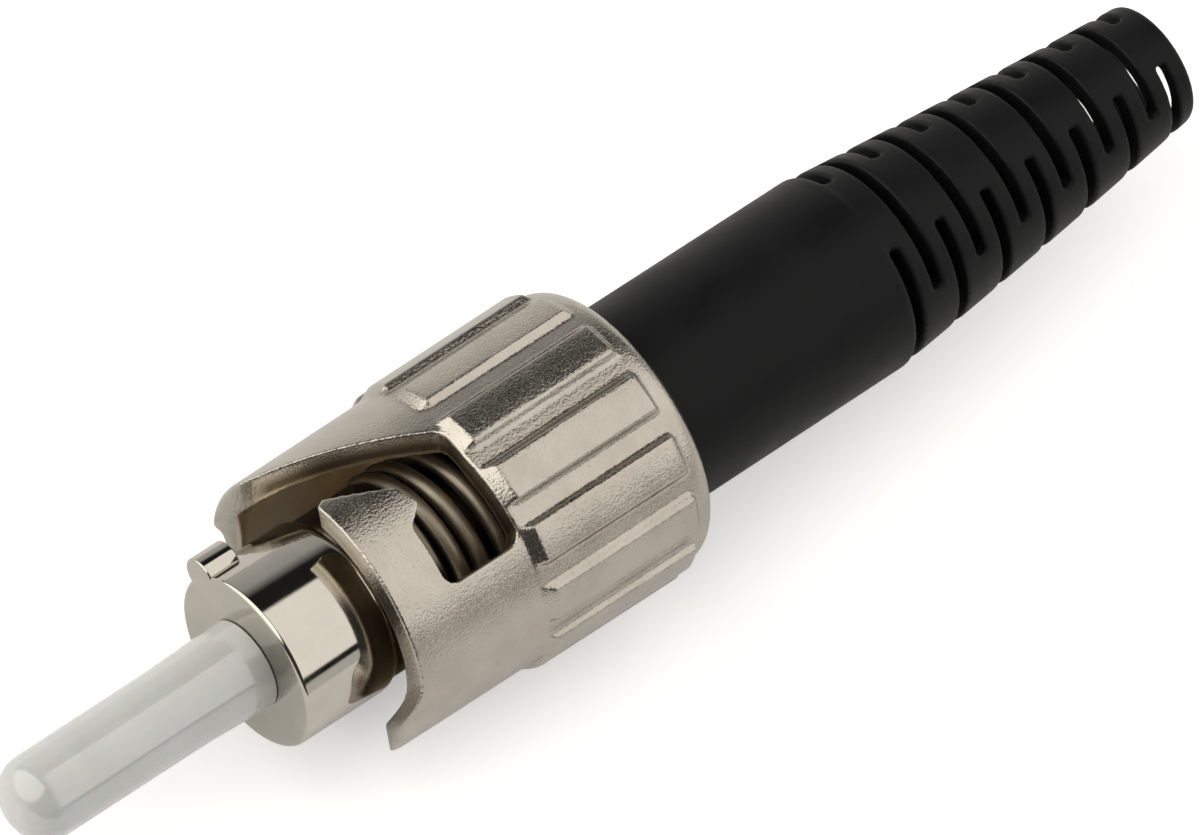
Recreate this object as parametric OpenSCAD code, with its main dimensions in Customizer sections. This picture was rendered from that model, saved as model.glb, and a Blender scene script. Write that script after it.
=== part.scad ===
// Bayonet fibre-optic connector: ferrule, turned body, sprung coupling nut, boot and dust cap.
// The axis is X. The origin is on the axis at the body's front face.
// The dust cap points to -X and the cable boot to +X. The connector lies on its side, on two grip pads.

/* [Ferrule and dust cap] */
// Diameter of the ceramic ferrule
ferrule_d = 2.5; // [2:0.05:3.2]
// How far the ferrule stands out of the body
ferrule_out = 8.6; // [7:0.1:11]
// How far the ferrule is pressed into the body
ferrule_in = 4.6; // [3:0.1:5.4]
// Diameter of the hole for the glass fibre
fibre_d = 0.125; // [0.1:0.005:0.4]
// Wall of the dust cap
cap_wall = 0.15; // [0.1:0.01:0.5]
// Radial clearance between the cap and the ferrule
cap_clearance = 0.03; // [0.01:0.01:0.1]

/* [Body] */
// Diameter of the body's front barrel
barrel_d = 6; // [5:0.1:7.2]
// Length of the front barrel
barrel_len = 3.6; // [3:0.05:4.6]
// Length of the neck behind the barrel, up to the spring's shoulder
neck_len = 2.55; // [2:0.05:3]
// How much smaller in radius the neck is than the barrel
neck_step = 0.17; // [0.05:0.01:0.4]
// How much smaller in radius the nut's tube is than the neck, which leaves the spring's seat
tube_step = 0.63; // [0.5:0.01:0.8]
// Width of the key bar on the barrel
key_w = 1.28; // [1:0.02:1.6]
// Length of the key bar, from the front face
key_len = 1.2; // [1:0.05:2.4]
// How much smaller in radius the crimp post is than the tube
post_step = 0.45; // [0.35:0.01:0.55]
// Length of the crimp post
post_len = 6.6; // [5:0.1:8]
// Wall of the crimp sleeve
crimp_wall = 0.35; // [0.25:0.01:0.45]
// Radial room for the cable's strands between the post and the sleeve
strand_room = 0.08; // [0.04:0.01:0.15]

/* [Spring and washers] */
// Length left for the spring
spring_room = 5.45; // [4.6:0.05:6.6]
// Diameter of the spring wire
wire_d = 0.46; // [0.38:0.01:0.56]
// Turns of the spring, its closed ends included
spring_turns = 7; // [5:0.5:7.5]
// Thickness of each washer
washer_t = 0.3; // [0.2:0.05:0.5]
// Thickness of the retaining ring
ring_t = 0.4; // [0.3:0.05:0.6]
// Running gap between parts that slide or turn on each other
run_gap = 0.08; // [0.03:0.01:0.1]
// Small gap between parts that are pushed together
seat_gap = 0.02; // [0.01:0.01:0.05]

/* [Coupling nut] */
// Wall of the nut's front sleeve
nut_wall = 0.85; // [0.7:0.05:1.2]
// Clearance between the key's top and the nut's bore
key_clearance = 0.26; // [0.1:0.02:0.5]
// Depth from the nut's front rim to its inner web
nut_front_depth = 9.4; // [9:0.1:11]
// Thickness of the inner web
web_t = 0.8; // [0.6:0.05:1.2]
// Depth of the nut behind the web
nut_rear_depth = 2.2; // [1.8:0.1:3]
// Height of the bayonet slot's rear wall above the front rim
slot_depth = 5.38; // [5:0.02:6]
// Width of the slot's seat, along the axis
seat_w = 2.98; // [2.6:0.02:3.2]
// How far the tongue is set back from the front rim
tongue_setback = 0.6; // [0.2:0.05:0.8]
// Number of grip pads
pad_count = 14; // [10:2:18]
// Height of the pads at their rear end
pad_h = 0.28; // [0.2:0.02:0.4]

/* [Boot] */
// Diameter of the boot's plain front
boot_d = 6.84; // [6.4:0.02:7.6]
// Length of the plain front
boot_plain = 10.5; // [8.6:0.1:12.6]
// Length of the slotted tail
boot_tail = 12.8; // [10.7:0.1:15.4]
// Diameter at the end of the tail
boot_end_d = 4.2; // [3.9:0.05:4.6]
// Diameter of the cable hole at the end of the tail
cable_hole_d = 3.2; // [2.8:0.05:3.4]
// Rows of windows in the tail
window_rows = 13; // [9:1:14]
// Width of each window, along the axis
window_w = 0.4; // [0.3:0.02:0.5]
// Angle that each window spans, of two in a row
window_deg = 132; // [110:2:140]

/* [Hidden] */
$fn = 64;
over = 1;

// radii
ferrule_r = ferrule_d / 2;
barrel_r = barrel_d / 2;
neck_r = barrel_r - neck_step;
tube_r = neck_r - tube_step;
post_r = tube_r - post_step;
crimp_r = post_r + strand_room + crimp_wall;
cable_r = cable_hole_d / 2;
boot_bore_r = max(tube_r, crimp_r, cable_r + crimp_wall) + seat_gap;
key_top = barrel_r + key_w / 2;
nut_bore_r = key_top + key_clearance;
nut_r = nut_bore_r + nut_wall;
boot_r = boot_d / 2;
rear_bore_r = boot_r + 0.23;
spring_r = barrel_r - seat_gap;
spring_bore_r = spring_r + 0.32;
base_r = max(nut_r, rear_bore_r + 0.85) + 0.05;
pad_top_r = base_r + pad_h;

// places along the axis, measured from the barrel's front face
shoulder_z = barrel_len + neck_len;
washer_z = shoulder_z + spring_room;
web_z = washer_z + washer_t;
web_end = web_z + web_t;
nut_front = web_z - nut_front_depth;
nut_rear = web_end + nut_rear_depth;
rear_washer_z = web_end + 0.05;
ring_z = rear_washer_z + washer_t + 0.05;
tube_end = ring_z + ring_t + 0.5;
boot_z = ring_z + ring_t + 0.1;
post_end = tube_end + post_len;
slot_rear = nut_front + slot_depth;
seat_front = slot_rear - seat_w;
band_z = slot_rear + 0.07;
tongue_z = nut_front + tongue_setback;
tail_z = boot_z + boot_plain;
boot_end = tail_z + boot_tail;
first_window = tail_z + 0.3;
window_pitch = (boot_tail - 1.95) / (window_rows - 1);
spring_gap = 0.03;

// angles round the axis, from the bottom, where the connector lies on two pads
key_deg = 117.2;
seat_deg = 199.2;
ramp_deg = seat_deg - 48;
first_row_deg = 262.1;

// A list of points round the corners [x, y, r], with each corner that has an r turned into an arc.
function rounded(corners, steps = 4) = [
    for (i = [0 : len(corners) - 1])
        let (
            n = len(corners),
            here = [corners[i][0], corners[i][1]],
            before = [corners[(i + n - 1) % n][0], corners[(i + n - 1) % n][1]],
            after = [corners[(i + 1) % n][0], corners[(i + 1) % n][1]],
            r = corners[i][2],
            to_before = (before - here) / norm(before - here),
            to_after = (after - here) / norm(after - here),
            half = acos(to_before * to_after) / 2,
            reach = r / tan(half),
            bisector = (to_before + to_after) / norm(to_before + to_after),
            middle = here + bisector * r / sin(half),
            start = here + to_before * reach - middle,
            end = here + to_after * reach - middle
        )
        each r == 0 ? [here] : [
            for (k = [0 : steps])
                let (part = (start * (steps - k) + end * k) / steps)
                middle + part * r / norm(part)
        ]
];

// Stands the children, drawn along Z, on the connector's axis: Z becomes X, and X points down.
module on_axis() {
    rotate([0, 90, 0]) children();
}

// A turned piece from its half outline [radius, place along the axis].
module turned(outline) {
    rotate_extrude() polygon(outline);
}

// A cut through the wall at one angle, from an outline [along the wall, along the axis].
module side_cut(angle, outline) {
    rotate([0, 0, angle])
        rotate([90, 0, 90])
            translate([0, 0, 0.5])
                linear_extrude(base_r + over) polygon(outline);
}

module dust_cap() {
    bore_r = ferrule_r + cap_clearance;
    cap_r = bore_r + cap_wall;
    flare_r = cap_r + 0.1;
    bore_end = -ferrule_out - 0.15;
    tip = bore_end - 0.55;
    tip_round = 0.8;
    mouth = -0.05;
    color("#dfe6e4cc")
        on_axis()
            turned(rounded([
                [0, tip, 0],
                [cap_r, tip, tip_round],
                [cap_r, -2.6, 0],
                [flare_r, mouth, 0],
                [bore_r + 0.02, mouth, 0],
                [bore_r, mouth - 0.3, 0],
                [bore_r, bore_end, 0.3],
                [0, bore_end, 0]
            ], 6));
}

module ferrule() {
    chamfer = 0.25;
    funnel_r = 0.45;
    funnel_len = 1;
    color("#f2f0ea")
        on_axis()
            difference() {
                turned([
                    [0, -ferrule_out],
                    [ferrule_r - chamfer, -ferrule_out],
                    [ferrule_r, -ferrule_out + 2 * chamfer],
                    [ferrule_r, ferrule_in],
                    [0, ferrule_in]
                ]);
                translate([0, 0, -ferrule_out - over])
                    cylinder(h = ferrule_out + ferrule_in + 2 * over, d = fibre_d);
                translate([0, 0, ferrule_in - funnel_len])
                    cylinder(h = funnel_len + 0.001, r1 = fibre_d / 2, r2 = funnel_r);
            }
}

module connector_body() {
    edge = 0.15;
    rear_round = 0.35;
    groove_depth = 0.3;
    bore_r = ferrule_r + seat_gap / 2;
    guide_r = 0.8;
    grooves = 7;
    groove_pitch = (post_len - 1) / grooves;
    color("#d9d2c6")
        on_axis()
            difference() {
                union() {
                    turned(rounded([
                        [0, 0, 0],
                        [barrel_r, 0, edge],
                        [barrel_r, barrel_len, rear_round],
                        [neck_r, barrel_len, 0],
                        [neck_r, shoulder_z, edge],
                        [tube_r, shoulder_z, 0],
                        [tube_r, ring_z - 0.03, 0],
                        [tube_r - groove_depth, ring_z - 0.03, 0],
                        [tube_r - groove_depth, ring_z + ring_t + 0.03, 0],
                        [tube_r, ring_z + ring_t + 0.03, 0],
                        [tube_r, tube_end, edge],
                        [post_r, tube_end, 0],
                        [post_r, post_end, edge],
                        [0, post_end, 0]
                    ]));
                    rotate([0, 0, key_deg])
                        translate([barrel_r, 0, 0])
                            cylinder(h = key_len, d = key_w);
                }
                translate([0, 0, -over])
                    cylinder(h = ferrule_in + over, r = bore_r);
                translate([0, 0, ferrule_in - 0.001])
                    cylinder(h = post_end, r = guide_r);
                for (k = [0 : grooves - 1])
                    translate([0, 0, tube_end + 0.9 + k * groove_pitch])
                        rotate_extrude()
                            polygon([
                                [post_r + 0.05, -0.25],
                                [post_r - 0.15, 0],
                                [post_r + 0.05, 0.25]
                            ]);
            }
}

// The wire's centre at a number of turns: closed end turns, and an even pitch between them.
function wire_rise(turn) =
    let (
        wire_r = wire_d / 2,
        closed = 0.75,
        first = spring_gap + wire_r,
        length = spring_room - 2 * first,
        open_turns = spring_turns - 2 * closed,
        lie = wire_d * closed,
        pitch = (length - 2 * lie) / open_turns
    )
    turn < closed ? first + wire_d * turn
    : turn > spring_turns - closed ? first + length - wire_d * (spring_turns - turn)
    : first + lie + pitch * (turn - closed);

module compression_spring() {
    steps = 22;
    sides = 10;
    rings = floor(spring_turns * steps);
    wire_r = wire_d / 2;
    coil_r = spring_r - wire_r;
    points = [
        for (k = [0 : rings], s = [0 : sides - 1])
            let (
                angle = 360 * k / steps,
                side = 360 * s / sides,
                r = coil_r + wire_r * cos(side),
                z = shoulder_z + wire_rise(k / steps) + wire_r * sin(side)
            )
            [r * cos(angle), r * sin(angle), z]
    ];
    walls = [
        for (k = [0 : rings - 1], s = [0 : sides - 1])
            let (next = (s + 1) % sides)
            [k * sides + s, k * sides + next, (k + 1) * sides + next, (k + 1) * sides + s]
    ];
    first_end = [for (s = [0 : sides - 1]) sides - 1 - s];
    last_end = [for (s = [0 : sides - 1]) rings * sides + s];
    color("#b9b2a4")
        on_axis()
            polyhedron(points, concat(walls, [first_end, last_end]));
}

module washer(z, outer_r) {
    on_axis()
        translate([0, 0, z])
            difference() {
                cylinder(h = washer_t, r = outer_r);
                translate([0, 0, -over])
                    cylinder(h = washer_t + 2 * over, r = tube_r + run_gap);
            }
}

module front_washer() {
    color("#c8c2b6") washer(washer_z, spring_bore_r - 0.1);
}

module rear_washer() {
    color("#c8c2b6") washer(rear_washer_z, rear_bore_r - 0.25);
}

module retaining_ring() {
    ring_in = tube_r - 0.27;
    ring_out = tube_r + 0.7;
    gap_deg = 70;
    color("#8f8b84")
        on_axis()
            translate([0, 0, ring_z])
                rotate([0, 0, gap_deg / 2])
                    rotate_extrude(angle = 360 - gap_deg)
                        translate([ring_in, 0]) square([ring_out - ring_in, ring_t]);
}

module nut_blank() {
    front_round = nut_wall * 0.45;
    rear_round = 0.6;
    inner_step = 2.1;
    draft = 0.05;
    turned(rounded([
        [nut_bore_r, nut_front, front_round],
        [nut_r, nut_front, front_round],
        [nut_r + draft, band_z, 0],
        [base_r, band_z + 0.05, 0],
        [base_r, nut_rear, rear_round],
        [rear_bore_r, nut_rear, 0.2],
        [rear_bore_r, web_end, 0],
        [tube_r + run_gap, web_end, 0],
        [tube_r + run_gap, web_z, 0],
        [spring_bore_r, web_z, 0],
        [spring_bore_r, slot_rear + 0.5, 0],
        [nut_bore_r, slot_rear + 0.5, 0]
    ]));
}

// The raised pads: a turned band, with its ends ramped, cut into teeth with sloping sides.
module grip_pads() {
    ramp = 0.5;
    rear_foot = nut_rear - 0.8;
    rear_ramp = 0.2;
    inside = base_r - 0.4;
    front_top = base_r + pad_h * 0.9;
    pitch = 360 / pad_count;
    land_deg = pitch * 0.27;
    root = (pitch - land_deg) / 2;
    crown = root - 2.2;
    slope = (root - crown) / pad_h;
    top_r = pad_top_r + 0.3;
    bottom_r = inside - 0.2;
    intersection() {
        turned([
            [inside, band_z],
            [base_r, band_z],
            [front_top, band_z + ramp],
            [pad_top_r, rear_foot - rear_ramp],
            [base_r, rear_foot],
            [inside, rear_foot]
        ]);
        translate([0, 0, band_z - over])
            linear_extrude(rear_foot - band_z + 2 * over)
                polygon([
                    for (k = [0 : pad_count - 1], side = [-1, 1], end = side < 0 ? [0, 1] : [1, 0])
                        let (
                            r = end == 0 ? bottom_r : top_r,
                            wide = root - slope * (r - base_r),
                            angle = (k + 0.5) * pitch + side * wide
                        )
                        [r * cos(angle), r * sin(angle)]
                ]);
    }
}

// The distance along the wall, from the middle of a cut, of an angle away from it.
function along(angle) = nut_r * sin(angle);

// The entry ramp, the seat with its detent, and the set-back tongue of one bayonet slot.
// Each of the three cuts crosses its neighbour at an angle, so that no two of their walls lie in one plane.
module bayonet_slot() {
    out = nut_front - over;
    rim = nut_front - 0.06;
    ramp_slope = 1.45;
    ramp_top = along(11.1);
    ramp_foot = ramp_top - (slot_rear - rim) / ramp_slope;
    lean = 0.03;
    bump_z = seat_front + 0.72;
    tip = along(5.6);
    bump = along(22);
    overlap = along(27.6);
    side_cut(ramp_deg, rounded([
        [-nut_r - over, out, 0],
        [-nut_r - over, rim, 0],
        [ramp_foot, rim, 0.8],
        [ramp_top, slot_rear + lean, 0.5],
        [overlap, slot_rear - lean, 0],
        [overlap, bump_z + 0.25, 0],
        [bump, bump_z, 0],
        [tip + 0.12, tongue_z + 0.3, 0],
        [tip + 0.4, tongue_z - 0.2, 0],
        [tip + 0.4, out, 0]
    ]));
    side_cut(seat_deg, rounded([
        [along(-29), slot_rear - lean, 0],
        [along(15), slot_rear + lean, 0.45],
        [along(15), seat_front, 0.45],
        [along(-11.5), seat_front, 0.35],
        [along(-18), bump_z, 0.3],
        [along(-29), bump_z - 0.3, 0]
    ]));
    side_cut(seat_deg, rounded([
        [along(-52), out, 0],
        [along(-52), tongue_z, 0],
        [along(45), tongue_z, 0.7],
        [along(56), rim, 0.7],
        [nut_r + over, rim, 0],
        [nut_r + over, out, 0]
    ]));
}

module coupling_nut() {
    color("#b8b1a6")
        on_axis()
            difference() {
                union() {
                    nut_blank();
                    grip_pads();
                }
                bayonet_slot();
                rotate([0, 0, 180]) bayonet_slot();
            }
}

module fibre_guide_tube() {
    outer_r = 0.78;
    inner_r = 0.5;
    start = ferrule_in + 0.1;
    end = post_end + 1.5;
    color("#e9e6dc")
        on_axis()
            turned([
                [inner_r, start],
                [outer_r, start],
                [outer_r, end],
                [inner_r, end]
            ]);
}

module crimp_sleeve() {
    bore_r = post_r + strand_room;
    start = tube_end + 0.1;
    step_z = post_end + 0.4;
    end = step_z + 1.8;
    color("#a9a49b")
        on_axis()
            turned([
                [bore_r, start],
                [crimp_r, start],
                [crimp_r, step_z],
                [cable_r + crimp_wall, step_z + 0.5],
                [cable_r + crimp_wall, end],
                [cable_r, end],
                [cable_r, step_z + 0.5],
                [bore_r, step_z]
            ]);
}

// One window of a row: a curved slot through the wall, with a narrower nose at each end.
module window(z, middle_deg) {
    nose_len = window_w * 0.5;
    nose_w = window_w * 0.42;
    start = cable_r / 2;
    reach = boot_r + over;
    end_deg = window_deg / 2 - asin(nose_len / boot_r);
    translate([0, 0, z]) {
        rotate([0, 0, middle_deg - end_deg])
            rotate_extrude(angle = 2 * end_deg)
                translate([start, -window_w / 2])
                    square([reach - start, window_w]);
        for (side = [-1, 1])
            rotate([0, 0, middle_deg + side * end_deg])
                translate([start, 0, 0])
                    rotate([90, 0, 90])
                        linear_extrude(reach - start)
                            polygon([
                                [-side * nose_len, -nose_w],
                                [side * nose_len * 0.3, -nose_w],
                                [side * nose_len, -nose_w * 0.4],
                                [side * nose_len, nose_w * 0.4],
                                [side * nose_len * 0.3, nose_w],
                                [-side * nose_len, nose_w]
                            ]);
    }
}

module boot() {
    end_r = boot_end_d / 2;
    inner_z = post_end + 2.4;
    neck_z = first_window + (window_rows - 1) * window_pitch + window_w / 2 + 0.12;
    color("#1b1b1c")
        on_axis()
            difference() {
                turned(rounded([
                    [boot_bore_r, boot_z, 0],
                    [boot_r, boot_z, 0.1],
                    [boot_r - 0.02, tail_z, 0],
                    [boot_r - 0.06, tail_z + 0.04, 0],
                    [end_r, neck_z + 0.3, 0],
                    [end_r, boot_end, 0.2],
                    [cable_r, boot_end, 0.15],
                    [cable_r, neck_z, 0],
                    [cable_r + 0.1, neck_z - 0.1, 0],
                    [cable_r + 0.25, inner_z + 0.6, 0],
                    [boot_bore_r, inner_z, 0]
                ]));
                for (k = [0 : window_rows - 1], turn = [0, 180])
                    window(first_window + k * window_pitch, first_row_deg + turn + (k % 2) * 90);
            }
}

dust_cap();
ferrule();
connector_body();
compression_spring();
front_washer();
coupling_nut();
rear_washer();
retaining_ring();
fibre_guide_tube();
crimp_sleeve();
boot();
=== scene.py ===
"""The looks of a bayonet fibre connector, built round its CAD model.

The axis is X, with the dust cap at -X and the boot at +X. New pieces are modelled in millimetres
and brought to metres when they are done. Angles round the axis start at the bottom and go towards +Y.
"""
import math

import bmesh
import bpy
from mathutils import Matrix, Vector


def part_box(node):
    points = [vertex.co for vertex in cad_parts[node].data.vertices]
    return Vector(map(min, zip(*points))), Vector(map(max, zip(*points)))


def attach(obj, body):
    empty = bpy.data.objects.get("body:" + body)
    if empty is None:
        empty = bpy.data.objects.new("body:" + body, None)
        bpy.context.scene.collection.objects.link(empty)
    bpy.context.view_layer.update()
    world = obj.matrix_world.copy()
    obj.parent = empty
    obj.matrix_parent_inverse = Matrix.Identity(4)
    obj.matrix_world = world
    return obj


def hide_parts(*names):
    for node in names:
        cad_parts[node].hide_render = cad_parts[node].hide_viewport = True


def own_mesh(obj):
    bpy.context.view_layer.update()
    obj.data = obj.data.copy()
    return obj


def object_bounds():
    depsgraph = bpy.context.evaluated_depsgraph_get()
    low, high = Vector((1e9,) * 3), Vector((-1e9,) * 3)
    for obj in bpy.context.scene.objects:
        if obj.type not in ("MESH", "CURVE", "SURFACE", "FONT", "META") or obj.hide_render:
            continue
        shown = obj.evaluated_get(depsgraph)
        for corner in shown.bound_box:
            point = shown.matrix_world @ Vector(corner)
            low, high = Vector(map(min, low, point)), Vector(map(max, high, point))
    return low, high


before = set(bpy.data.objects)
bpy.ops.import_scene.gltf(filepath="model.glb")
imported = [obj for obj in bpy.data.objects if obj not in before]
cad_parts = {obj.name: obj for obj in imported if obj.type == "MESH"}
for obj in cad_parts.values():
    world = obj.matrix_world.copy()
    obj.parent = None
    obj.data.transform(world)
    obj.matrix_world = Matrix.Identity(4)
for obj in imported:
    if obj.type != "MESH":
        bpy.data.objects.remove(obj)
cad_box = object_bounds()

MM = 0.001
SPIN_STEPS = 256
MOST_TRIANGLES = 190000
MERGE_WITHIN = 1e-4
SAME_PLACE = 1e-3
CORNER_STEPS = 5


# ---------------------------------------------------------------- sizes in millimetres

def span(node):
    """Where a CAD node starts and ends along the axis, and its radius."""
    low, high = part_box(node)
    return low.x / MM, high.x / MM, high.z / MM


cap_tip, _, cap_mouth_r = span("dust_cap")
barrel_front, body_rear, _ = span("connector_body")
spring_front, spring_rear, spring_r = span("compression_spring")
nut_front, nut_rear, pad_top_r = span("coupling_nut")
ring_front, ring_rear, _ = span("retaining_ring")
boot_front, boot_rear, boot_r = span("boot")

# body
barrel_r = 3.0
barrel_len = 3.6
neck_r = 2.83
shoulder = 6.15
tube_r = 2.2
tube_rear = 14.0
post_r = 1.75
key_r = 0.64
key_len = 1.2
key_angle = 117.2

# spring
wire_r = 0.27
spring_turns = 6
spring_start_angle = 100

# coupling nut
nut_bore_r = 3.9
sleeve_r = 4.75
grip_r = 4.8
spring_bore_r = 3.3
web_front = 11.9
web_rear = 12.7
rear_bore_r = 3.65
slot_rear = 7.88
seat_front = 5.03
tongue = 3.1
band_front = 7.95
seat_angle = 199.2
ramp_angle = seat_angle - 48
pad_count = 14

# boot
tail_front = 24.1
tail_end_r = 2.1
cable_hole_r = 1.6
window_rows = 13
first_window = 24.4
window_pitch = 0.97
window_width = 0.37
window_angle = 132
first_row_angle = 262.1


# ---------------------------------------------------------------- modelling by hand

def pick(piece):
    """Makes a piece the only one selected, and the active one."""
    bpy.ops.object.select_all(action="DESELECT")
    piece.select_set(True)
    bpy.context.view_layer.objects.active = piece


def edit(piece):
    """Opens a piece for editing, with nothing in it selected."""
    pick(piece)
    bpy.ops.object.mode_set(mode="EDIT")
    bpy.ops.mesh.select_mode(type="VERT")
    bpy.ops.mesh.select_all(action="DESELECT")


def close_edit():
    """Merges doubles, turns the faces outwards and leaves edit mode."""
    bpy.ops.mesh.select_all(action="SELECT")
    bpy.ops.mesh.remove_doubles(threshold=MERGE_WITHIN)
    bpy.ops.mesh.normals_make_consistent(inside=False)
    bpy.ops.object.mode_set(mode="OBJECT")


def select_where(piece, test):
    """Selects the vertices, of the piece being edited, whose place passes the test."""
    shape = bmesh.from_edit_mesh(piece.data)
    for vertex in shape.verts:
        vertex.select = test(vertex.co)
    shape.select_flush_mode()
    bmesh.update_edit_mesh(piece.data)


def angle_of(co):
    """The angle of a place round the axis, from the bottom towards +Y, between -180 and 180 degrees."""
    return math.degrees(math.atan2(co.y, -co.z))


def on_profile(x, radius):
    """A point of a turned outline, at the bottom: along the axis, and out from it."""
    return Vector((x, 0, -radius))


def on_wall(x, sideways):
    """A point of a cut through the wall at the bottom: along the axis, and along the wall."""
    cut_start_r = 0.5
    return Vector((x, sideways, -cut_start_r))


def outline(name, corners, place=on_profile):
    """A closed line through the corners (a, b, cut), still being edited and all selected.
    place puts (a, b) in space, and cut is how far from its corner a rounding starts."""
    points = [place(a, b) for a, b, _ in corners]
    bpy.ops.object.select_all(action="DESELECT")
    bpy.ops.mesh.primitive_plane_add(size=1)
    piece = bpy.context.object
    piece.name = name
    edit(piece)
    bpy.ops.mesh.select_all(action="SELECT")
    bpy.ops.mesh.merge(type="CENTER")
    bpy.ops.transform.translate(value=points[0])
    for here, after in zip(points, points[1:] + points[:1]):
        bpy.ops.mesh.extrude_region_move(TRANSFORM_OT_translate={"value": after - here})
    bpy.ops.mesh.select_all(action="SELECT")
    bpy.ops.mesh.remove_doubles(threshold=MERGE_WITHIN)
    for point, (_, _, cut) in zip(points, corners):
        if cut:
            select_where(piece, lambda co: (co - point).length < SAME_PLACE)
            bpy.ops.mesh.bevel(offset=cut, segments=CORNER_STEPS, affect="VERTICES")
    bpy.ops.mesh.select_all(action="SELECT")
    return piece


def sweep(degrees, steps=1):
    """Spins what is selected round the axis, and leaves the last of it selected."""
    bpy.ops.mesh.spin(steps=steps, angle=-math.radians(degrees), center=(0, 0, 0), axis=(1, 0, 0))


def turned(name, corners):
    """A turned piece, spun from its outline of (place along the axis, radius, cut)."""
    piece = outline(name, corners)
    sweep(360, SPIN_STEPS)
    close_edit()
    return piece


def turn(piece, degrees):
    """Turns a piece round the axis, with the turn and its place kept in its mesh."""
    pick(piece)
    piece.rotation_euler = (math.radians(degrees), 0, 0)
    bpy.ops.object.transform_apply(location=True, rotation=True, scale=True)
    return piece


def duplicate(piece):
    """A copy of a piece, with a mesh of its own."""
    pick(piece)
    bpy.ops.object.duplicate(linked=False)
    return bpy.context.object


def join(pieces):
    """Makes one mesh of the pieces, under the first one's name."""
    bpy.ops.object.select_all(action="DESELECT")
    for piece in pieces:
        piece.select_set(True)
    bpy.context.view_layer.objects.active = pieces[0]
    bpy.ops.object.join()
    return pieces[0]


def change(piece, kind, **settings):
    """Adds a modifier to a piece, sets it and applies it."""
    pick(piece)
    bpy.ops.object.modifier_add(type=kind)
    step = piece.modifiers[-1]
    for setting, value in settings.items():
        setattr(step, setting, value)
    bpy.ops.object.modifier_apply(modifier=step.name)


def combine(piece, tools, operation):
    """Cuts the tools out of a piece or adds them to it, and takes the tools away."""
    for tool in tools:
        change(piece, "BOOLEAN", operation=operation, solver="EXACT", object=tool)
        bpy.data.objects.remove(tool)


def soften(piece, voxel, passes):
    """Makes one skin of the piece and rounds its edges a little. The skin is then thinned, and
    keeps the shading that it had before."""
    change(piece, "REMESH", mode="VOXEL", voxel_size=voxel)
    change(piece, "SMOOTH", factor=0.5, iterations=passes)
    shade(piece)
    full = duplicate(piece)
    triangles = 2 * len(piece.data.polygons)
    change(piece, "DECIMATE", ratio=min(1, MOST_TRIANGLES / triangles))
    change(piece, "DATA_TRANSFER", object=full, use_loop_data=True,
           data_types_loops={"CUSTOM_NORMAL"}, loop_mapping="POLYINTERP_NEAREST")
    bpy.data.objects.remove(full)


def lean(piece, start, end, shift):
    """Bends the piece gently, from start to end along the axis, until its end has moved by shift."""
    last_ring = 0.05
    edit(piece)
    select_where(piece, lambda co: co.x > end - last_ring)
    bpy.ops.transform.translate(
        value=shift, use_proportional_edit=True, proportional_edit_falloff="SHARP",
        proportional_size=end - start)
    close_edit()


def shade(piece, sharpest=180):
    """Shades a piece smooth, apart from edges that turn by more than sharpest degrees."""
    pick(piece)
    bpy.ops.object.shade_smooth_by_angle(angle=math.radians(sharpest))


def finished(piece, finish, body, node):
    """Brings a piece to metres, gives it its finish, and puts it on its body in its node's place."""
    pick(piece)
    piece.scale = (MM, MM, MM)
    bpy.ops.object.transform_apply(location=True, rotation=True, scale=True)
    piece.data.materials.clear()
    piece.data.materials.append(finish)
    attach(piece, body)
    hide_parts(node)
    return piece


# ---------------------------------------------------------------- pieces

def make_dust_cap():
    """The soft cap pushed over the ferrule: a thin tube with a domed tip and a flared mouth."""
    cap_r = 1.43
    bore_r = 1.28
    bore_end = cap_tip + 0.55
    bore_round = 0.3
    dome = 1.15
    flare_front = -2.6
    flare_round = 0.5
    mouth = -0.015
    lip = 0.04
    lead_in = 0.02
    lead_in_len = 0.3
    cap = turned("dust_cap_shell", [
        (cap_tip, 0, 0),
        (cap_tip, cap_r, dome),
        (flare_front, cap_r, flare_round),
        (mouth, cap_mouth_r, lip),
        (mouth, bore_r + lead_in, 0),
        (mouth - lead_in_len, bore_r, 0),
        (bore_end, bore_r, bore_round),
        (bore_end, 0, 0),
    ])
    shade(cap, 40)
    return cap


def make_key():
    """The half-round key bar on the barrel."""
    edge = 0.07
    bpy.ops.object.select_all(action="DESELECT")
    bpy.ops.mesh.primitive_cylinder_add(
        vertices=96, radius=key_r, depth=key_len,
        location=(key_len / 2, 0, -barrel_r), rotation=(0, math.pi / 2, 0))
    key = bpy.context.object
    bpy.ops.object.transform_apply(location=True, rotation=True, scale=True)
    change(key, "BEVEL", width=edge, segments=4, limit_method="ANGLE")
    return turn(key, key_angle)


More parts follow.
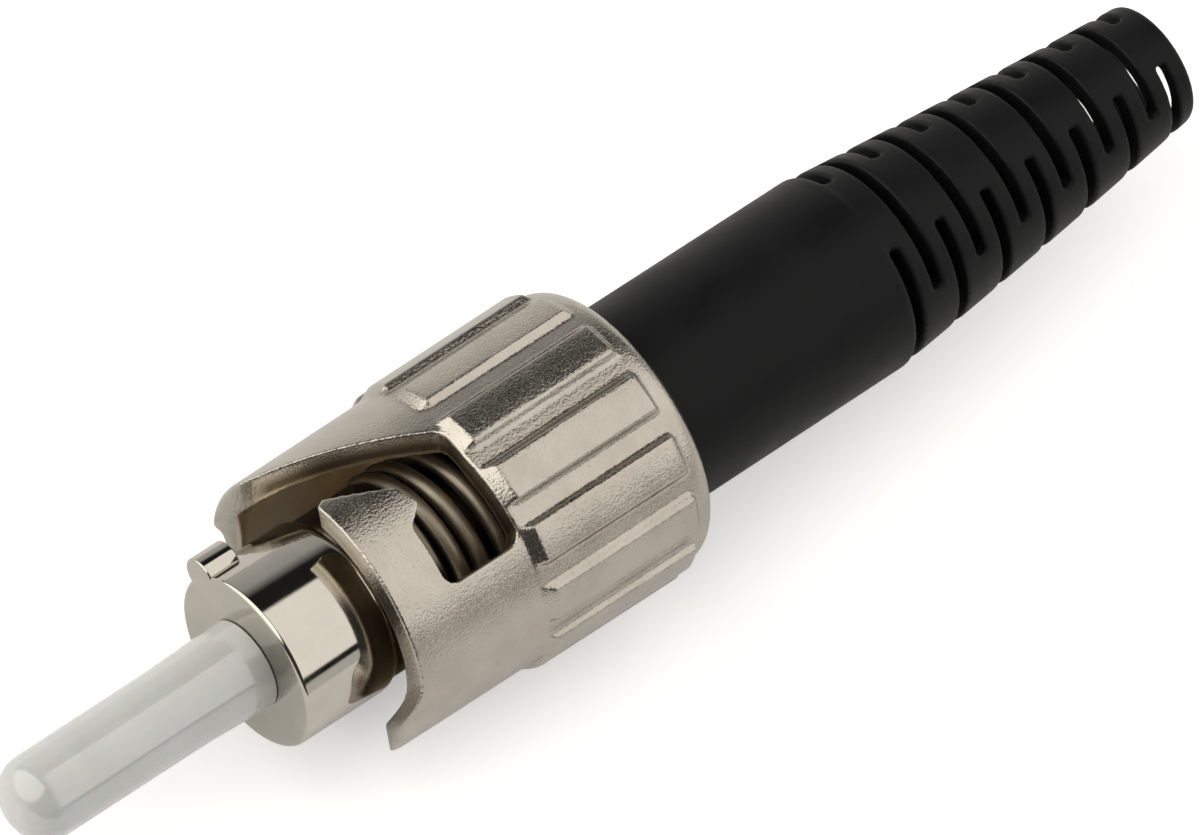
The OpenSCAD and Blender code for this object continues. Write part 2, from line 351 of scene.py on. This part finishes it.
def make_body():
    """The turned and plated body: barrel with its key, neck, tube and crimp post."""
    ring_play = 0.03
    groove_r = tube_r - 0.3
    groove_front = ring_front - ring_play
    groove_rear = ring_rear + ring_play
    ferrule_bore_r = 1.26
    ferrule_seat = 4.6
    guide_r = 0.8
    edge = 0.15
    rear_round = 0.35
    bore_edge = 0.05
    neck_corner = 0.03
    body = turned("plated_body", [
        (barrel_front, ferrule_bore_r, bore_edge),
        (barrel_front, barrel_r, edge),
        (barrel_len, barrel_r, rear_round),
        (barrel_len, neck_r, neck_corner),
        (shoulder, neck_r, edge),
        (shoulder, tube_r, 0),
        (groove_front, tube_r, 0),
        (groove_front, groove_r, 0),
        (groove_rear, groove_r, 0),
        (groove_rear, tube_r, 0),
        (tube_rear, tube_r, edge),
        (tube_rear, post_r, 0),
        (body_rear, post_r, edge),
        (body_rear, guide_r, 0),
        (ferrule_seat, guide_r, 0),
        (ferrule_seat, ferrule_bore_r, 0),
    ])
    combine(body, [make_key()], "UNION")
    shade(body, 25)
    return body


def wire_rise(turns):
    """How far the wire has gone along the axis: closed end turns, and an even pitch between them."""
    closed = 0.75
    room = spring_rear - spring_front - 2 * wire_r
    lie = 2 * wire_r * closed
    if turns < closed:
        return 2 * wire_r * turns
    if turns > spring_turns - closed:
        return room - 2 * wire_r * (spring_turns - turns)
    return lie + (room - 2 * lie) * (turns - closed) / (spring_turns - 2 * closed)


def make_spring():
    """The compression spring: a round wire led round the axis, a step at a time."""
    steps = 40
    wire_sides = 16
    bpy.ops.object.select_all(action="DESELECT")
    bpy.ops.mesh.primitive_circle_add(
        vertices=wire_sides, radius=wire_r, rotation=(math.pi / 2, 0, 0),
        location=(spring_front + wire_r, 0, -spring_r + wire_r))
    spring = bpy.context.object
    spring.name = "spring_wire"
    bpy.ops.object.transform_apply(location=True, rotation=True, scale=True)
    edit(spring)
    bpy.ops.mesh.select_all(action="SELECT")
    for step in range(spring_turns * steps):
        rise = wire_rise((step + 1) / steps) - wire_rise(step / steps)
        sweep(360 / steps)
        bpy.ops.transform.translate(value=(rise, 0, 0))
    bpy.ops.mesh.select_all(action="SELECT")
    bpy.ops.mesh.fill_holes(sides=0)
    close_edit()
    shade(spring, 40)
    return turn(spring, spring_start_angle)


def make_pad():
    """One grip pad: a block spun round the axis, with a long front ramp and sloping sides."""
    inside_r = grip_r - 0.4
    foot_r = grip_r - 0.02
    front_ramp = 0.43
    rear_ramp = 0.2
    rear = nut_rear - 0.8
    steps = 8
    pad_share = 0.73
    front_share = 0.9
    width = 360 / pad_count * pad_share
    front_top_r = grip_r + (pad_top_r - grip_r) * front_share
    pad = outline("pad", [
        (band_front, inside_r, 0),
        (band_front, foot_r, 0),
        (band_front + front_ramp, front_top_r, 0),
        (rear - rear_ramp, pad_top_r, 0),
        (rear, foot_r, 0),
        (rear, inside_r, 0),
    ])
    sweep(width, steps)
    bpy.ops.mesh.select_all(action="SELECT")
    bpy.ops.mesh.fill_holes(sides=0)
    close_edit()
    turn(pad, -width / 2)
    edit(pad)
    last = width / 2 - width / steps / 2
    select_where(pad, lambda co: abs(angle_of(co)) > last and math.hypot(co.y, co.z) > grip_r)
    lower = grip_r / pad_top_r
    bpy.ops.transform.resize(value=(1, lower, lower), center_override=(0, 0, 0))
    close_edit()
    return pad


def wall_cutter(name, angle, corners):
    """A block that cuts an outline of (place along the axis, along the wall, cut) through the wall."""
    piece = outline(name, corners, on_wall)
    bpy.ops.mesh.edge_face_add()
    bpy.ops.mesh.extrude_region_move(TRANSFORM_OT_translate={"value": (0, 0, -pad_top_r)})
    close_edit()
    return turn(piece, angle)


def along(angle):
    """The distance along the sleeve's wall, from the middle of a cut, of an angle away from it."""
    return sleeve_r * math.sin(math.radians(angle))


def slot_cutters():
    """The three blocks that cut one bayonet slot: entry ramp, seat with its detent, set-back tongue."""
    out = nut_front - 1
    rim = nut_front - 0.06
    clear = sleeve_r + 1
    slant = 0.03
    ramp_slope = 1.45
    ramp_top = along(11.1)
    ramp_foot = ramp_top - (slot_rear - rim) / ramp_slope
    ramp_rear = along(27.6)
    bump = seat_front + 0.72
    bump_side = along(22)
    tip = along(5.6)
    tip_wide = tip + 0.4
    seat_side = along(15)
    seat_start = along(-11.5)
    detent = along(-18)
    seat_end = along(-29)
    tongue_start = along(-52)
    tongue_end = along(48)
    rim_start = along(60)
    return [
        wall_cutter("ramp_cut", ramp_angle, [
            (out, -clear, 0),
            (rim, -clear, 0),
            (rim, ramp_foot, 1.0),
            (slot_rear + slant, ramp_top, 0.25),
            (slot_rear - slant, ramp_rear, 0),
            (bump + 0.25, ramp_rear, 0),
            (bump, bump_side, 0),
            (tongue + 0.3, tip + 0.12, 0),
            (tongue - 0.2, tip_wide, 0),
            (out, tip_wide, 0),
        ]),
        wall_cutter("seat_cut", seat_angle, [
            (slot_rear - slant, seat_end, 0),
            (slot_rear + slant, seat_side, 0.45),
            (seat_front, seat_side, 0.45),
            (seat_front, seat_start, 0.2),
            (bump, detent, 0.15),
            (bump - 0.3, seat_end, 0),
        ]),
        wall_cutter("tongue_cut", seat_angle, [
            (out, tongue_start, 0),
            (tongue, tongue_start, 0),
            (tongue, tongue_end, 0.3),
            (rim, rim_start, 0.3),
            (rim, clear, 0),
            (out, clear, 0),
        ]),
    ]


def make_nut():
    """The cast coupling nut: sleeve with two bayonet slots, inner web and a ring of grip pads."""
    front_round = 0.38
    rear_round = 0.6
    rear_bore_edge = 0.2
    web_bore_r = tube_r + 0.08
    bore_rear = slot_rear + 0.5
    nut = turned("nut_casting", [
        (nut_front, nut_bore_r, front_round),
        (nut_front, sleeve_r, front_round),
        (band_front, sleeve_r + 0.03, 0),
        (band_front + 0.05, grip_r, 0),
        (nut_rear, grip_r, rear_round),
        (nut_rear, rear_bore_r, rear_bore_edge),
        (web_rear, rear_bore_r, 0),
        (web_rear, web_bore_r, 0),
        (web_front, web_bore_r, 0),
        (web_front, spring_bore_r, 0),
        (bore_rear, spring_bore_r, 0),
        (bore_rear, nut_bore_r, 0),
    ])
    cutters = slot_cutters()
    cutters += [turn(duplicate(cutter), 180) for cutter in cutters]
    combine(nut, cutters, "DIFFERENCE")
    pad = make_pad()
    pads = [turn(duplicate(pad), (k + 0.5) * 360 / pad_count) for k in range(pad_count)]
    bpy.data.objects.remove(pad)
    join([nut, *pads])
    soften(nut, voxel=0.055, passes=6)
    return nut


def make_window():
    """A block that cuts one window: a bar led round the axis, narrowed to a nose at both ends."""
    start_r = 0.8
    reach = boot_r + 1
    bar_steps = 36
    half = window_width / 2
    nose_r = boot_r - 0.6
    nose_angle = math.degrees(half / nose_r)
    nose_turns = (0, 25, 50, 75)
    straight = window_angle - 2 * nose_angle
    widths = [math.cos(math.radians(degrees)) for degrees in nose_turns]
    steps = [math.sin(math.radians(degrees)) for degrees in nose_turns]
    window = outline("window", [
        (-half, start_r, 0),
        (half, start_r, 0),
        (half, reach, 0),
        (-half, reach, 0),
    ])
    sweep(straight, bar_steps)
    for way, start in ((1, straight), (-1, 0)):
        edge = Vector((0, math.sin(math.radians(start)), -math.cos(math.radians(start))))
        select_where(window, lambda co: co.normalized().cross(edge).yz.length < SAME_PLACE
                     and abs(angle_of(co) - angle_of(edge)) < 1)
        for k in range(1, len(widths)):
            sweep(way * nose_angle * (steps[k] - steps[k - 1]))
            bpy.ops.transform.resize(
                value=(widths[k] / widths[k - 1], 1, 1), center_override=(0, 0, 0))
    bpy.ops.mesh.select_all(action="SELECT")
    bpy.ops.mesh.fill_holes(sides=0)
    close_edit()
    return turn(window, -straight / 2)


def make_boot():
    """The moulded boot: a plain front, and a tapered tail with rows of windows."""
    bore_r = tube_r + 0.02
    bore_rear = body_rear + 2.4
    bore_cone = 0.6
    front_edge = 0.1
    end_round = 0.2
    end_bore_round = 0.15
    step = 0.04
    windows_end = first_window + (window_rows - 1) * window_pitch + window_width / 2 + 0.12
    taper_end = windows_end + 0.3
    tail_shift = (0, 0.24, 0.07)
    boot = turned("moulded_boot", [
        (boot_front, bore_r, 0),
        (boot_front, boot_r, front_edge),
        (tail_front, boot_r - 0.02, 0),
        (tail_front + step, boot_r - 0.06, 0),
        (taper_end, tail_end_r, 0),
        (boot_rear, tail_end_r, end_round),
        (boot_rear, cable_hole_r, end_bore_round),
        (bore_rear + bore_cone, cable_hole_r, 0),
        (bore_rear, bore_r, 0),
    ])
    window = make_window()
    windows = []
    for row in range(window_rows):
        for side in (0, 180):
            copy = duplicate(window)
            copy.location.x = first_window + row * window_pitch
            windows.append(turn(copy, first_row_angle + side + (row % 2) * 90))
    bpy.data.objects.remove(window)
    combine(boot, [join(windows)], "DIFFERENCE")
    soften(boot, voxel=0.07, passes=7)
    lean(boot, tail_front, boot_rear, tail_shift)
    return boot


# ---------------------------------------------------------------- finishes

def add(tree, kind, inputs=None, **settings):
    """A new node. inputs gives each socket a value, or another node's output to link."""
    new = tree.nodes.new(kind)
    for setting, value in settings.items():
        setattr(new, setting, value)
    for socket, value in (inputs or {}).items():
        if isinstance(value, bpy.types.NodeSocket):
            tree.links.new(value, new.inputs[socket])
        else:
            new.inputs[socket].default_value = value
    return new


def make_grain_group():
    """Grain that several finishes share: a fine height, and a cloud that changes slowly."""
    group = bpy.data.node_groups.new("fine_grain", "ShaderNodeTree")
    for name in ("Grain Size", "Cloud Size"):
        group.interface.new_socket(name=name, in_out="INPUT", socket_type="NodeSocketFloat")
    for name in ("Height", "Cloud"):
        group.interface.new_socket(name=name, in_out="OUTPUT", socket_type="NodeSocketFloat")
    given = add(group, "NodeGroupInput")
    place = add(group, "ShaderNodeTexCoord").outputs["Object"]
    results = {}
    for name, size, detail in (("Height", "Grain Size", 2), ("Cloud", "Cloud Size", 3)):
        scale = add(group, "ShaderNodeMath", {0: 1.0, 1: given.outputs[size]}, operation="DIVIDE")
        noise = add(group, "ShaderNodeTexNoise", {
            "Vector": place, "Scale": scale.outputs[0], "Detail": float(detail), "Roughness": 0.55})
        results[name] = noise.outputs["Fac"]
    add(group, "NodeGroupOutput", results)
    return group


def mixed(tree, share, first, second):
    """A mix of two colours by share, with each of them a value or another node's output."""
    factor_socket, first_socket, second_socket, colour_out = 0, 6, 7, 2
    mix = add(tree, "ShaderNodeMix", {
        factor_socket: share, first_socket: first, second_socket: second}, data_type="RGBA")
    return mix.outputs[colour_out]


def new_finish(name, **sockets):
    """A material with its Principled shader, and the shader's constant sockets set."""
    finish = bpy.data.materials.new(name)
    finish.use_nodes = True
    tree = finish.node_tree
    shader = tree.nodes["Principled BSDF"]
    for socket, value in sockets.items():
        shader.inputs[socket.replace("_", " ")].default_value = value
    return finish, tree, shader


def grained(name, dark, light, rough, grain_size, cloud_size, depth, **sockets):
    """A finish with grain: its colour and its roughness drift, and its surface is finely uneven.
    The sizes and the depth are in metres."""
    finish, tree, shader = new_finish(name, **sockets)
    grain = add(tree, "ShaderNodeGroup", node_tree=grain_group)
    grain.inputs["Grain Size"].default_value = grain_size
    grain.inputs["Cloud Size"].default_value = cloud_size
    drift = add(tree, "ShaderNodeMapRange", {
        "Value": grain.outputs["Cloud"], "From Min": 0.35, "From Max": 0.65})
    tone = mixed(tree, drift.outputs["Result"], (*dark, 1), (*light, 1))
    tree.links.new(tone, shader.inputs["Base Color"])
    gloss = add(tree, "ShaderNodeMapRange", {
        "Value": grain.outputs["Cloud"], "From Min": 0.3, "From Max": 0.7,
        "To Min": rough[0], "To Max": rough[1]})
    tree.links.new(gloss.outputs["Result"], shader.inputs["Roughness"])
    bump = add(tree, "ShaderNodeBump", {"Height": grain.outputs["Height"], "Distance": depth})
    tree.links.new(bump.outputs["Normal"], shader.inputs["Normal"])
    return finish


def share_behind(tree, start, end):
    """A share that grows from 0 to 1 along the axis, from start to end."""
    place = add(tree, "ShaderNodeTexCoord").outputs["Object"]
    parts = add(tree, "ShaderNodeSeparateXYZ", {"Vector": place})
    return add(tree, "ShaderNodeMapRange", {
        "Value": parts.outputs["X"], "From Min": start * MM, "From Max": end * MM}).outputs["Result"]


def share_inside(tree, start, end):
    """A share that grows from 0 to 1 towards the axis, from the start radius to the end radius."""
    place = add(tree, "ShaderNodeTexCoord").outputs["Object"]
    across = add(tree, "ShaderNodeVectorMath", {0: place, 1: (0, 1, 1)}, operation="MULTIPLY")
    radius = add(tree, "ShaderNodeVectorMath", {0: across.outputs["Vector"]}, operation="LENGTH")
    return add(tree, "ShaderNodeMapRange", {
        "Value": radius.outputs["Value"],
        "From Min": start * MM, "From Max": end * MM}).outputs["Result"]


def paint_over(finish, share, colour, rough):
    """Makes a finish take another colour and roughness by share, painted over its polished finish: used
    for painted shade and a brass tint.
    """
    tree = finish.node_tree
    shader = tree.nodes["Principled BSDF"]
    polished_colour = shader.inputs["Base Color"].links[0].from_socket
    polished_rough = shader.inputs["Roughness"].links[0].from_socket
    tree.links.new(mixed(tree, share, polished_colour, (*colour, 1)), shader.inputs["Base Color"])
    gloss = add(tree, "ShaderNodeMix", {0: share, 2: polished_rough, 3: rough}, data_type="FLOAT")
    tree.links.new(gloss.outputs[0], shader.inputs["Roughness"])


def paint_shade_on_body(finish):
    """Painted shade: the neck and tube, behind the polished barrel, lie inside the nut and are painted
    darker, standing in for the shade there.
    """
    shaded_past_barrel = share_behind(finish.node_tree, barrel_len + 0.02, barrel_len + 0.12)
    paint_over(finish, shaded_past_barrel, colour=(0.14, 0.12, 0.09), rough=0.3)


def brass_and_painted_shade_nut(finish):
    """Inside the nut, partly the brass under thin plating and partly painted light: the slot walls are
    painted dark brown as painted shade, and the bore a paler brass brown that also stands in for warm
    light bounced round inside.
    """
    shaded_walls = (sleeve_r - 0.2, sleeve_r - 0.5, (0.14, 0.11, 0.075))
    bore = (nut_bore_r + 0.2, nut_bore_r + 0.02, (0.80, 0.67, 0.48))
    tree = finish.node_tree
    past_rim = share_behind(tree, nut_front + 0.4, nut_front + 0.9)
    for start, end, colour in (shaded_walls, bore):
        inside = add(tree, "ShaderNodeMath", {
            0: past_rim, 1: share_inside(tree, start, end)}, operation="MULTIPLY")
        paint_over(finish, inside.outputs[0], colour, rough=0.34)


grain_group = make_grain_group()

finishes = {
    "satin_nickel": grained(
        "satin_nickel", dark=(0.385, 0.353, 0.305), light=(0.44, 0.405, 0.352), rough=(0.19, 0.25),
        grain_size=8.5e-5, cloud_size=1.2e-3, depth=1.9e-5, Metallic=1.0),
    "bright_nickel": grained(
        "bright_nickel", dark=(0.465, 0.44, 0.387), light=(0.505, 0.475, 0.42), rough=(0.05, 0.10),
        grain_size=1.2e-4, cloud_size=1.5e-3, depth=4e-7, Metallic=1.0),
    # Painted shade: the spring's colour is darker than its steel, standing in for the shade inside the
    # nut.
    "spring_steel": grained(
        "spring_steel", dark=(0.23, 0.20, 0.155), light=(0.29, 0.25, 0.195), rough=(0.42, 0.50),
        grain_size=6e-5, cloud_size=8e-4, depth=1e-6, Metallic=1.0),
    "washer_steel": grained(
        "washer_steel", dark=(0.40, 0.37, 0.33), light=(0.46, 0.43, 0.38), rough=(0.24, 0.34),
        grain_size=8e-5, cloud_size=9e-4, depth=2e-6, Metallic=1.0),
    "crimp_metal": grained(
        "crimp_metal", dark=(0.38, 0.35, 0.30), light=(0.44, 0.41, 0.36), rough=(0.28, 0.4),
        grain_size=8e-5, cloud_size=9e-4, depth=3e-6, Metallic=1.0),
    "boot_rubber": grained(
        "boot_rubber", dark=(0.004, 0.004, 0.0044), light=(0.006, 0.006, 0.0065), rough=(0.42, 0.54),
        grain_size=9e-5, cloud_size=1.5e-3, depth=6e-6, Specular_IOR_Level=0.13),
    "cap_plastic": grained(
        "cap_plastic", dark=(0.49, 0.497, 0.482), light=(0.53, 0.537, 0.522), rough=(0.06, 0.10),
        grain_size=1.5e-4, cloud_size=2e-3, depth=2e-7, Subsurface_Weight=0.3,
        Subsurface_Scale=0.0005, Coat_Weight=1.0, Coat_Roughness=0.03),
    "ceramic": grained(
        "ceramic", dark=(0.80, 0.79, 0.76), light=(0.84, 0.83, 0.80), rough=(0.12, 0.18),
        grain_size=6e-5, cloud_size=1e-3, depth=3e-7),
    "guide_plastic": grained(
        "guide_plastic", dark=(0.72, 0.70, 0.64), light=(0.78, 0.76, 0.70), rough=(0.35, 0.45),
        grain_size=9e-5, cloud_size=1e-3, depth=2e-6),
}

# Painted shade: the body's neck and tube are painted darker in their finish.
paint_shade_on_body(finishes["bright_nickel"])
# Partly painted shade: the nut's slot walls are painted dark, and its bore a warm brass brown.
brass_and_painted_shade_nut(finishes["satin_nickel"])


# ---------------------------------------------------------------- the object

def build():
    """Makes the five pieces with skins of their own, and gives the other CAD nodes their finishes."""
    cap = finished(make_dust_cap(), finishes["cap_plastic"], "cap", "dust_cap")
    body = finished(make_body(), finishes["bright_nickel"], "connector", "connector_body")
    spring = finished(make_spring(), finishes["spring_steel"], "connector", "compression_spring")
    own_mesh(spring)
    nut = finished(make_nut(), finishes["satin_nickel"], "nut", "coupling_nut")
    boot = finished(make_boot(), finishes["boot_rubber"], "connector", "boot")
    for node, finish in {
        "ferrule": "ceramic",
        "front_washer": "washer_steel",
        "rear_washer": "washer_steel",
        "retaining_ring": "washer_steel",
        "fibre_guide_tube": "guide_plastic",
        "crimp_sleeve": "crimp_metal",
    }.items():
        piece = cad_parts[node]
        piece.data.materials.clear()
        piece.data.materials.append(finishes[finish])


# ---------------------------------------------------------------- floor, light and camera

def make_floor():
    """A pale floor at the object's lowest point, white in the open and darker in its shadow."""
    floor_width = 3
    open_white = 0.36
    mirrored_white = 0.02
    bpy.ops.object.select_all(action="DESELECT")
    lowest = min(corner[2] for corner in cad_box)
    bpy.ops.mesh.primitive_plane_add(size=floor_width, location=(0, 0, lowest))
    floor = bpy.context.object
    floor.name = "floor"
    finish, tree, shader = new_finish("floor_paper", Base_Color=(0.9, 0.9, 0.9, 1), Roughness=0.9)
    shader.inputs["Specular IOR Level"].default_value = 0
    ray = add(tree, "ShaderNodeLightPath")
    seen = add(tree, "ShaderNodeMath", {
        0: ray.outputs["Is Camera Ray"], 1: ray.outputs["Is Transmission Ray"]}, operation="MAXIMUM")
    mirrored = add(tree, "ShaderNodeMath", {
        0: ray.outputs["Is Glossy Ray"], 1: mirrored_white}, operation="MULTIPLY")
    lift = add(tree, "ShaderNodeMath", {
        0: seen.outputs[0], 1: open_white, 2: mirrored.outputs[0]}, operation="MULTIPLY_ADD")
    shader.inputs["Emission Color"].default_value = (1, 1, 1, 1)
    tree.links.new(lift.outputs[0], shader.inputs["Emission Strength"])
    floor.data.materials.append(finish)


def make_light():
    """A studio round the object. Beside and behind it are a wide lamp from -Y to overhead, a dark
    strip on both sides of the lamp, and pale walls. It is dark ahead of the cap's tip, apart from a
    large second lamp that hangs ahead and above, on the +Y side. The stops are degrees round the
    axis from overhead towards +Y, and the shares along the axis are the X of a direction."""
    lamp = (1.4, 1.37, 1.32)
    wall = (0.72, 0.72, 0.70)
    dim = (0.5, 0.5, 0.49)
    dark = (0.02, 0.02, 0.02)
    ahead = (0.06, 0.06, 0.06)
    stops = [
        (-78, wall), (-76, dark), (-70, dark), (-68, lamp),
        (20, lamp), (23, dark), (46, dark), (60, dim), (105, wall),
    ]
    ahead_until, sides_from = -0.1, 0.12
    second_lamp = (2.25, 2.2, 2.1)
    toward = Vector((-0.54, 0.54, 0.645)).normalized()
    outer_edge, inner_edge = 51, 43
    second_ends, second_full = -0.12, -0.2
    world = bpy.data.worlds.new("studio")
    bpy.context.scene.world = world
    world.use_nodes = True
    tree = world.node_tree
    back = tree.nodes["Background"]
    way = add(tree, "ShaderNodeTexCoord").outputs["Generated"]
    parts = add(tree, "ShaderNodeSeparateXYZ", {"Vector": way})
    angle = add(tree, "ShaderNodeMath", {
        0: parts.outputs["Y"], 1: parts.outputs["Z"]}, operation="ARCTAN2")
    share = add(tree, "ShaderNodeMapRange", {
        "Value": angle.outputs[0], "From Min": -math.pi, "From Max": math.pi})
    ramp = add(tree, "ShaderNodeValToRGB", {"Fac": share.outputs["Result"]})
    elements = ramp.color_ramp.elements
    while len(elements) < len(stops):
        elements.new(0.5)
    for element, (degrees, colour) in zip(elements, stops):
        element.position = (degrees + 180) / 360
        element.color = (*colour, 1)
    open_share = add(tree, "ShaderNodeMapRange", {
        "Value": parts.outputs["X"], "From Min": ahead_until, "From Max": sides_from})
    sides = mixed(tree, open_share.outputs["Result"], (*ahead, 1), ramp.outputs["Color"])
    nearness = add(tree, "ShaderNodeVectorMath", {0: way, 1: toward}, operation="DOT_PRODUCT")
    second = add(tree, "ShaderNodeMapRange", {
        "Value": nearness.outputs["Value"],
        "From Min": math.cos(math.radians(outer_edge)),
        "From Max": math.cos(math.radians(inner_edge))})
    ahead_share = add(tree, "ShaderNodeMapRange", {
        "Value": parts.outputs["X"], "From Min": second_ends, "From Max": second_full})
    second_share = add(tree, "ShaderNodeMath", {
        0: second.outputs["Result"], 1: ahead_share.outputs["Result"]}, operation="MULTIPLY")
    colour = mixed(tree, second_share.outputs[0], sides, (*second_lamp, 1))
    tree.links.new(colour, back.inputs["Color"])
    back.inputs["Strength"].default_value = 1.0


def make_camera():
    """A long lens, from ahead and above, with the connector rising to the right."""
    nearest, farthest = 0.1, 20
    heading = math.radians(59.14)
    height = math.radians(60.45)
    roll = math.radians(22.47)
    aim = Vector((14.5, 0.36, 0.11)) * MM
    view_width = 36.8 * MM
    lens = 1000
    sensor = 36
    back = Vector((-math.sin(heading) * math.cos(height),
                   -math.cos(heading) * math.cos(height), math.sin(height)))
    level = Vector((math.cos(heading), -math.sin(heading), 0))
    upright = back.cross(level)
    right = level * math.cos(roll) + upright * math.sin(roll)
    up = back.cross(right)
    camera = bpy.data.objects.new("camera", bpy.data.cameras.new("camera"))
    bpy.context.scene.collection.objects.link(camera)
    camera.data.lens = lens
    camera.data.sensor_width = sensor
    camera.data.clip_start = nearest
    camera.data.clip_end = farthest
    camera.matrix_world = Matrix((right, up, back)).transposed().to_4x4()
    camera.location = aim + back * view_width * lens / sensor
    bpy.context.scene.camera = camera


build()
make_floor()
make_light()
make_camera()
bpy.context.scene.view_settings.view_transform = "Standard"
